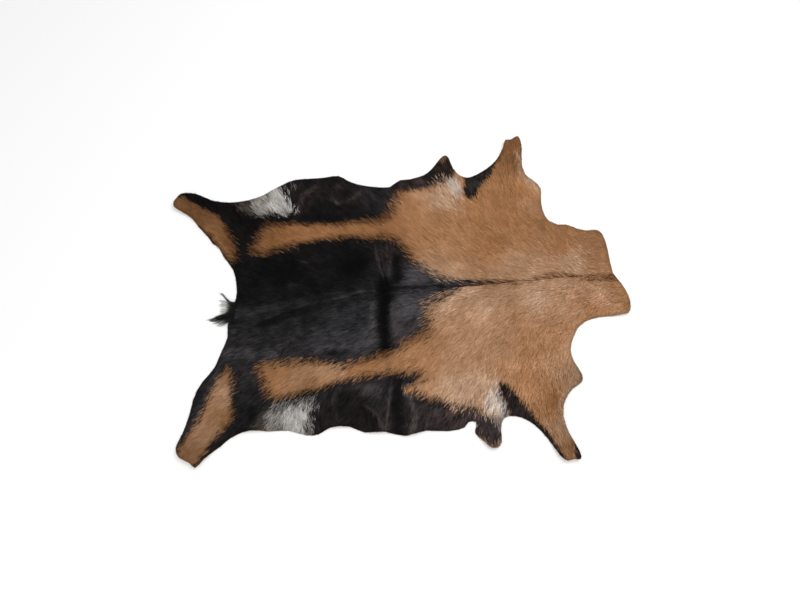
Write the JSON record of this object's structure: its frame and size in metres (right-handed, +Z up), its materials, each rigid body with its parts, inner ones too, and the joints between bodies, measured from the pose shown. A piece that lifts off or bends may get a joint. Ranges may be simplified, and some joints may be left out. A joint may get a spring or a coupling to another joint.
{
  "type": "hair-on goatskin rug",
  "caption": "Whole tanned goatskin with short hair, lying flat: four leg flaps, a cut neck, wavy belly edges and a small tail tuft.",
  "frame": {"origin": "on the underside at the middle of the spine, on the floor that the skin lies on", "axes": "+X along the spine to the neck, +Y to the animal's left side, +Z up out of the hair"},
  "size_m": [1.0003, 0.7837, 0.0136],
  "materials": {
    "coat": "short glossy hair, tan with black, brown and grey-white markings",
    "tail_hair": "long glossy hair, black with pale tips",
    "skin": "tanned suede underside, off-white"
  },
  "bodies": {
    "root": {"hide": "coat", "tail_tuft": "tail_hair"}
  },
  "joints": []
}
